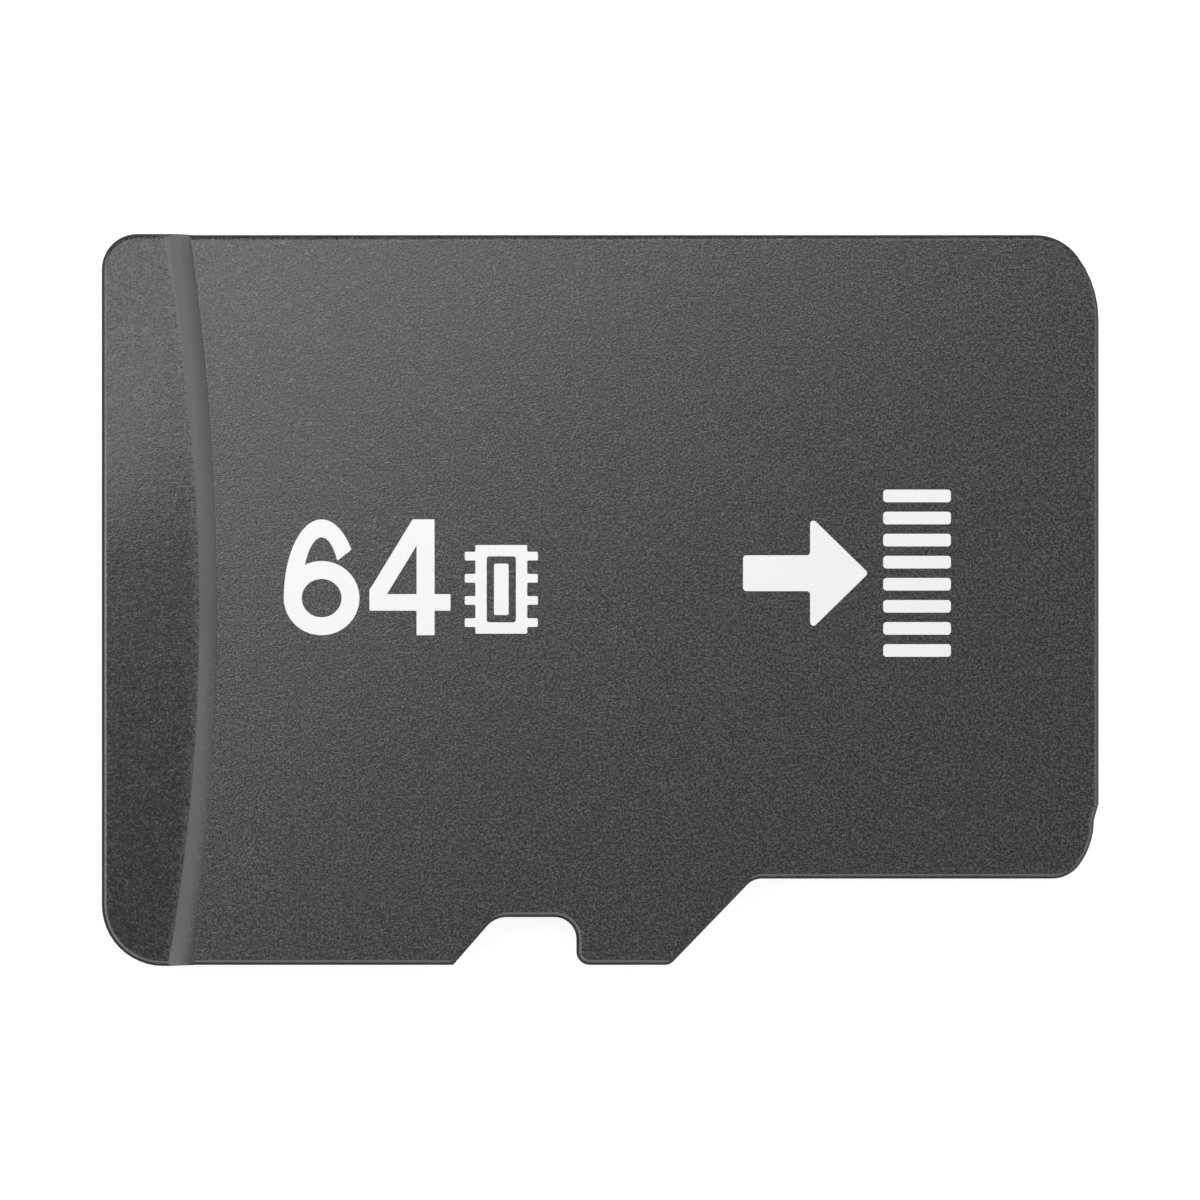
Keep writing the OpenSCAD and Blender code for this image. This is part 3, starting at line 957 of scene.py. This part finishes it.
@dataclass
class Print:
    """White ink on the top: a plain number, a chip mark and an insertion mark.

    The number stands for the capacity. The insertion mark shows the contacts and the way in.
    """

    level: float
    ink: Material
    thickness: float = 0.004
    number_left: float = -4.776
    number_base: float = -0.53
    number_height: float = 1.744
    stroke: float = 0.27
    six_width: float = 1.14
    six_bowl: float = 0.98
    six_terminal: float = 38.0
    four_width: float = 1.22
    four_overhang: float = 0.24
    four_bar_level: float = 0.37
    four_bar_weight: float = 0.92
    four_arm_inset: float = 0.06
    four_arm_weight: float = 0.95
    four_rounding: float = 0.012
    digit_gap: float = 0.15
    chip_corner: Point = (-2.05, -0.507)
    chip_size: Point = (1.1, 1.335)
    chip_leg: Point = (0.16, 0.13)
    chip_ring: float = 0.17
    chip_legs: int = 4
    chip_gap: float = 0.11
    chip_roundings: Place = (0.02, 0.04, 0.03)
    mark_left: float = 2.14
    mark_right: float = 5.27
    mark_bottom: float = -0.855
    mark_top: float = 1.662
    bar_count: int = 8
    bar_length: float = 1.02
    bar_height: float = 0.19
    arrow_gap: float = 0.22
    arrow_head: Point = (0.88, 0.86)
    arrow_half_shaft: float = 0.27
    corner: float = 0.05
    corner_steps: int = 6
    weld: float = 0.0005

    def build(self) -> None:
        """Adds the whole print."""
        four_left = self.number_left + self.six_width + self.digit_gap
        self._stencil("number_six", self._six(self.number_left))
        self._stencil("number_four", self._four(four_left))
        self._stencil("chip_mark", self._chip())
        self._stencil("insertion_arrow", [self._arrow()])
        self._bars()

    def _six(self, left: float) -> list[list[Point]]:
        """A six: a bowl, and an arm that rises from its left side and bends over."""
        half = self.six_width / 2
        bowl = half * self.six_bowl
        arm = self.number_height - bowl
        middle = (left + half, self.number_base + bowl)
        inner_half = half - self.stroke
        inner_arm = arm - self.stroke
        # Where the arm's inner curve dips into the bowl, as squares of the two distances
        across = 1 / inner_half**2 - 1 / half**2
        upright = 1 / (inner_half * bowl) ** 2 - 1 / (half * inner_arm) ** 2
        up = across / upright
        over = (1 - up / bowl**2) * half**2
        meeting = (-math.sqrt(over), math.sqrt(up))
        bowl_end = math.degrees(math.atan2(meeting[1] / bowl, meeting[0] / half))
        arm_end = math.degrees(math.atan2(meeting[1] / inner_arm, meeting[0] / inner_half))
        outer = (
            ellipse(middle, (half, arm), self.six_terminal, 180.0)
            + ellipse(middle, (half, bowl), 180.0, 360.0 + bowl_end)[1:]
            + ellipse(middle, (inner_half, inner_arm), arm_end, self.six_terminal)[1:]
        )
        counter = ellipse(middle, (inner_half, bowl - self.stroke), 0.0, 360.0)[:-1]
        return [outer, counter]

    def _four(self, left: float) -> list[list[Point]]:
        """A four: an upright stem, a bar and a slanting arm round an open triangle."""
        base = self.number_base
        top = base + self.number_height
        stem_right = left + self.four_width - self.four_overhang
        stem_left = stem_right - self.stroke
        bar_low = base + self.four_bar_level
        bar_high = bar_low + self.stroke * self.four_bar_weight
        arm_foot = bar_high + self.four_arm_inset
        arm_top = stem_left - self.four_arm_inset
        slope = (top - arm_foot) / (arm_top - left)
        width = self.stroke * self.four_arm_weight * math.sqrt(1 + slope**2) / slope
        outer = [
            (stem_right, base),
            (stem_right, bar_low),
            (left + self.four_width, bar_low),
            (left + self.four_width, bar_high),
            (stem_right, bar_high),
            (stem_right, top),
            (arm_top, top),
            (left, arm_foot),
            (left, bar_low),
            (stem_left, bar_low),
            (stem_left, base),
        ]
        counter = [
            (left + width + (bar_high - arm_foot) / slope, bar_high),
            (stem_left, bar_high),
            (stem_left, arm_foot + slope * (stem_left - width - left)),
        ]
        return [rounded_path(outer, self.four_rounding), counter]

    def _chip(self) -> list[list[Point]]:
        """A chip: a ring with legs on two sides, round a filled middle."""
        x, y = self.chip_corner
        width, height = self.chip_size
        reach, thick = self.chip_leg
        right, left = x + width - reach, x + reach
        pitch = height / self.chip_legs
        levels = [y + pitch * (k + 0.5) for k in range(self.chip_legs)]
        outer = [(left, y), (right, y)]
        for level in levels:
            low, high = level - thick / 2, level + thick / 2
            outer += [(right, low), (right + reach, low), (right + reach, high), (right, high)]
        outer += [(right, y + height), (left, y + height)]
        for level in reversed(levels):
            low, high = level - thick / 2, level + thick / 2
            outer += [(left, high), (left - reach, high), (left - reach, low), (left, low)]
        ring = self.chip_ring
        hole = rectangle(left + ring, y + ring, right - left - 2 * ring, height - 2 * ring)
        gap = ring + self.chip_gap
        block = rectangle(left + gap, y + gap, right - left - 2 * gap, height - 2 * gap)
        loops = zip((outer, hole, block), self.chip_roundings)
        return [rounded_path(loop, radius) for loop, radius in loops]

    def _arrow(self) -> list[Point]:
        """The arrow that points to the insertion end."""
        middle = (self.mark_bottom + self.mark_top) / 2
        tip = self.mark_right - self.bar_length - self.arrow_gap
        head_length, head_half = self.arrow_head
        neck = tip - head_length
        half = self.arrow_half_shaft
        outline = [
            (self.mark_left, middle - half),
            (neck, middle - half),
            (neck, middle - head_half),
            (tip, middle),
            (neck, middle + head_half),
            (neck, middle + half),
            (self.mark_left, middle + half),
        ]
        return rounded_path(outline, self.corner)

    def _bars(self) -> None:
        """The contact bars of the insertion mark."""
        height = self.mark_top - self.mark_bottom
        sizes = {
            "Count": self.bar_count,
            "Pitch": (height - self.bar_height) / (self.bar_count - 1),
            "Length": self.bar_length,
            "Height": self.bar_height,
            "Corner": self.corner,
            "Thickness": self.thickness,
        }
        recipe = Recipe("contact_bars", self.ink, sizes)
        sockets = {"Width": recipe.size("Length"), "Height": recipe.size("Height")}
        quad = recipe.node("GeometryNodeCurvePrimitiveQuadrilateral", sockets)
        sockets = {"Curve": quad, "Radius": recipe.size("Corner"), "Count": self.corner_steps}
        fillet = recipe.node("GeometryNodeFilletCurve", sockets, mode="POLY")
        filled = recipe.node("GeometryNodeFillCurve", {"Curve": fillet}, mode="NGONS")
        step = recipe.node("ShaderNodeCombineXYZ", {1: recipe.size("Pitch")})
        sockets = {"Count": recipe.size("Count"), "Offset": step}
        row = recipe.node("GeometryNodeMeshLine", sockets, mode="OFFSET")
        bars = recipe.node("GeometryNodeInstanceOnPoints", {"Points": row, "Instance": filled})
        real = recipe.node("GeometryNodeRealizeInstances", {"Geometry": bars})
        raised = {"Mesh": real, "Offset Scale": recipe.size("Thickness"), "Individual": False}
        recipe.finish(recipe.node("GeometryNodeExtrudeMesh", raised, mode="FACES"))
        mesh = recipe.run(add_object("bars", bpy.data.meshes.new("bars")))
        x = self.mark_right - self.bar_length / 2
        y = self.mark_bottom + self.bar_height / 2
        mesh.transform(Matrix.Translation((x, y, self.level)))
        add_piece("contact_bars", mesh)

    def _stencil(self, name: str, loops: list[list[Point]]) -> None:
        """Adds flat ink with closed outlines, where a loop inside another is a hole.

        Args:
            name: The piece's name.
            loops: The outlines, in millimetres.
        """
        curve = bpy.data.curves.new(name, "CURVE")
        curve.dimensions = "2D"
        curve.fill_mode = "BOTH"
        curve.extrude = self.thickness / 2
        for loop in loops:
            spline = curve.splines.new("POLY")
            spline.points.add(len(loop) - 1)
            for point, (x, y) in zip(spline.points, loop):
                point.co = (x, y, 0.0, 1.0)
            spline.use_cyclic_u = True
        mesh = self._to_mesh(curve)
        mesh.transform(Matrix.Translation((0.0, 0.0, self.level + self.thickness / 2)))
        add_piece(name, mesh)

    def _to_mesh(self, data: Curve) -> Mesh:
        """Turns a curve into a welded mesh with the ink on it."""
        source = add_object(data.name, data)
        graph = bpy.context.evaluated_depsgraph_get()
        mesh = bpy.data.meshes.new_from_object(source.evaluated_get(graph))
        bpy.data.objects.remove(source)
        welded = bmesh.new()
        welded.from_mesh(mesh)
        bmesh.ops.remove_doubles(welded, verts=welded.verts, dist=self.weld)
        bmesh.ops.recalc_face_normals(welded, faces=welded.faces)
        welded.to_mesh(mesh)
        welded.free()
        only_material(mesh, self.ink)
        return mesh


def ellipse(
    middle: Point, radii: Point, start: float, end: float, step: float = 6.0
) -> list[Point]:
    """Points along an upright ellipse.

    Args:
        middle: Its middle.
        radii: Its half sizes along X and Y.
        start: The first point's angle, in degrees.
        end: The last point's angle.
        step: The largest angle between neighbours.

    Returns:
        The points, both ends among them.
    """
    count = math.ceil(abs(end - start) / step)
    angles = [math.radians(start + (end - start) * k / count) for k in range(count + 1)]
    return [
        (middle[0] + radii[0] * math.cos(angle), middle[1] + radii[1] * math.sin(angle))
        for angle in angles
    ]


def rectangle(x: float, y: float, width: float, height: float) -> list[Point]:
    """The corners of a rectangle, counter-clockwise."""
    return [(x, y), (x + width, y), (x + width, y + height), (x, y + height)]


def rounded_path(corners: list[Point], radius: float, steps: int = 6) -> list[Point]:
    """A closed path with its corners rounded.

    Args:
        corners: The corners in order.
        radius: The arcs' radius.
        steps: The number of steps of one arc.

    Returns:
        The points of the path.
    """
    points = []
    count = len(corners)
    for i in range(count):
        before, tip, after = (Vector(corners[(i + k) % count]) for k in (-1, 0, 1))
        way_in = (before - tip).normalized()
        way_out = (after - tip).normalized()
        half = way_in.angle(way_out) / 2
        reach = radius / math.tan(half)
        centre = tip + (way_in + way_out).normalized() * (radius / math.sin(half))
        start = tip + way_in * reach - centre
        end = tip + way_out * reach - centre
        sweep = start.angle_signed(end)
        for k in range(steps + 1):
            spoke = Matrix.Rotation(-sweep * k / steps, 2) @ start
            points.append(tuple(centre + spoke))
    return points


@dataclass(frozen=True)
class Softbox:
    """A flat lamp, with places and sizes in millimetres."""

    name: str
    place: Place
    aim: Place
    along: Place
    size: Point
    radiance: float

    def hang(self) -> None:
        """Adds the lamp."""
        data = bpy.data.lights.new(self.name, "AREA")
        data.shape = "RECTANGLE"
        data.size = self.size[0] * MM
        data.size_y = self.size[1] * MM
        data.energy = self.radiance * math.pi * data.size * data.size_y
        lamp = add_object(self.name, data)
        back = (Vector(self.place) - Vector(self.aim)).normalized()
        upright = back.cross(Vector(self.along)).normalized()
        turned = Matrix((upright.cross(back), upright, back)).transposed()
        lamp.matrix_world = Matrix.Translation(Vector(self.place) * MM) @ turned.to_4x4()
        lamp.visible_camera = False


@dataclass
class Studio:
    """The floor, the lamps and the camera."""

    focal_length: float = 200.0
    sensor: float = 36.0
    frame_width: float = 18.07
    camera_shift: float = -0.014
    face_level: float = 0.7
    floor_size: float = 2000.0
    floor_shade: float = 0.4
    floor_shown_shade: float = 0.35
    floor_glow: Point = (0.84, 1.0)
    far_field: Point = (14.0, 34.0)
    zenith: float = 0.4
    horizon: float = 0.08
    dome_rise: Point = (0.05, 0.95)
    backdrop_fade: Point = (0.1, 0.0)
    clip: Point = (1.0, 10000.0)
    lamps: tuple[Softbox, ...] = (
        Softbox("key", (-7.0, 9.6, 25.7), (-7.0, 9.6, 0.0), (0.81, 0.59, 0.0), (50.0, 11.0), 3.5),
        Softbox("edge", (-23.5, -30.6, 46.0), (0.0, 0.0, 0.7), (1.0, -0.77, 0.0), (15.0, 15.0), 3.5),
        Softbox("slope", (42.0, -6.0, 24.0), (0.0, 0.0, 24.0), (0.1, 1.0, 0.0), (56.0, 46.0), 1.8),
    )

    def build(self) -> None:
        """Sets the whole studio."""
        self._floor()
        self._world()
        for lamp in self.lamps:
            lamp.hang()
        self._camera()
        bpy.context.scene.view_settings.view_transform = "Standard"

    def _seen(self, graph: Graph) -> Wire:
        """Whether a ray comes from the camera, a gloss or a clear piece."""
        rays = graph.node("ShaderNodeLightPath").socket.node
        names = ("Is Camera Ray", "Is Glossy Ray", "Is Transmission Ray")
        camera, glossy, clear = (Wire(graph, rays.outputs[name]) for name in names)
        return camera.math("MAXIMUM", glossy.math("MAXIMUM", clear))

    def _floor(self) -> None:
        """A pale floor that looks white and keeps the card's shadow."""
        half = self.floor_size / 2 * MM
        mesh = bpy.data.meshes.new("floor")
        corners = [(-half, -half, 0), (half, -half, 0), (half, half, 0), (-half, half, 0)]
        mesh.from_pydata(corners, [], [(0, 1, 2, 3)])
        finish = Finish("floor")
        plain = finish.node("ShaderNodeBsdfDiffuse", {"Color": grey(self.floor_shade)})
        shown = finish.node("ShaderNodeBsdfDiffuse", {"Color": grey(self.floor_shown_shade)})
        near, far = self.floor_glow
        strength = finish.beyond((0.0, 0.0), 0.0).step(*self.far_field) * (far - near) + near
        glow = finish.node("ShaderNodeEmission", {"Strength": strength})
        white = finish.node("ShaderNodeAddShader", {0: shown, 1: glow})
        mixed = finish.node("ShaderNodeMixShader", {0: self._seen(finish), 1: plain, 2: white})
        finish.node("ShaderNodeOutputMaterial", {"Surface": mixed})
        mesh.materials.append(finish.material)
        add_object("floor", mesh)

    def _world(self) -> None:
        """A soft dome, dim towards the horizon, with a white backdrop for the camera and gloss."""
        world = bpy.data.worlds.new("studio")
        bpy.context.scene.world = world
        world.use_nodes = True
        graph = Graph(world.node_tree)
        rays = graph.node("ShaderNodeLightPath").socket.node
        camera = Wire(graph, rays.outputs["Is Camera Ray"])
        sky = graph.node("ShaderNodeTexCoord", output="Generated")
        height = graph.node("ShaderNodeSeparateXYZ", {0: sky}, output="Z")
        dome = height.step(*self.dome_rise) * (self.zenith - self.horizon) + self.horizon
        shown = camera.math("MAXIMUM", self._seen(graph) * height.step(*self.backdrop_fade))
        sockets = {"Color": grey(1.0), "Strength": dome * (1 - shown) + shown}
        light = graph.node("ShaderNodeBackground", sockets)
        graph.node("ShaderNodeOutputWorld", {"Surface": light})

    def _camera(self) -> None:
        """A long lens that looks straight down on the card."""
        data = bpy.data.cameras.new("camera")
        data.lens = self.focal_length
        data.sensor_width = self.sensor
        data.clip_start = self.clip[0] * MM
        data.clip_end = self.clip[1] * MM
        distance = self.frame_width * self.focal_length / self.sensor
        camera = add_object("camera", data)
        camera.location = Vector((self.camera_shift, 0.0, self.face_level + distance)) * MM
        bpy.context.scene.camera = camera


def main() -> None:
    """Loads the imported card, dresses it, adds its finer pieces and sets the studio."""
    logging.basicConfig(level=logging.INFO, format="%(message)s")
    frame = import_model()
    record = frame["record"]
    slots = {part["node"]: part["material_slot"] for part in record["subparts"]}
    face = next(mount for mount in record["mounts"] if mount["name"] == "top_face")
    card = PackedCard(frame["nodes"], slots)
    finishes = slot_finishes()
    card.dress(finishes)
    GlassEdge(card, GlassBundle().build()).build()
    Print(face["pos_m"][2] / MM, finishes[Slot.PRINT_INK]).build()
    Studio().build()


if __name__ == "__main__":
    main()
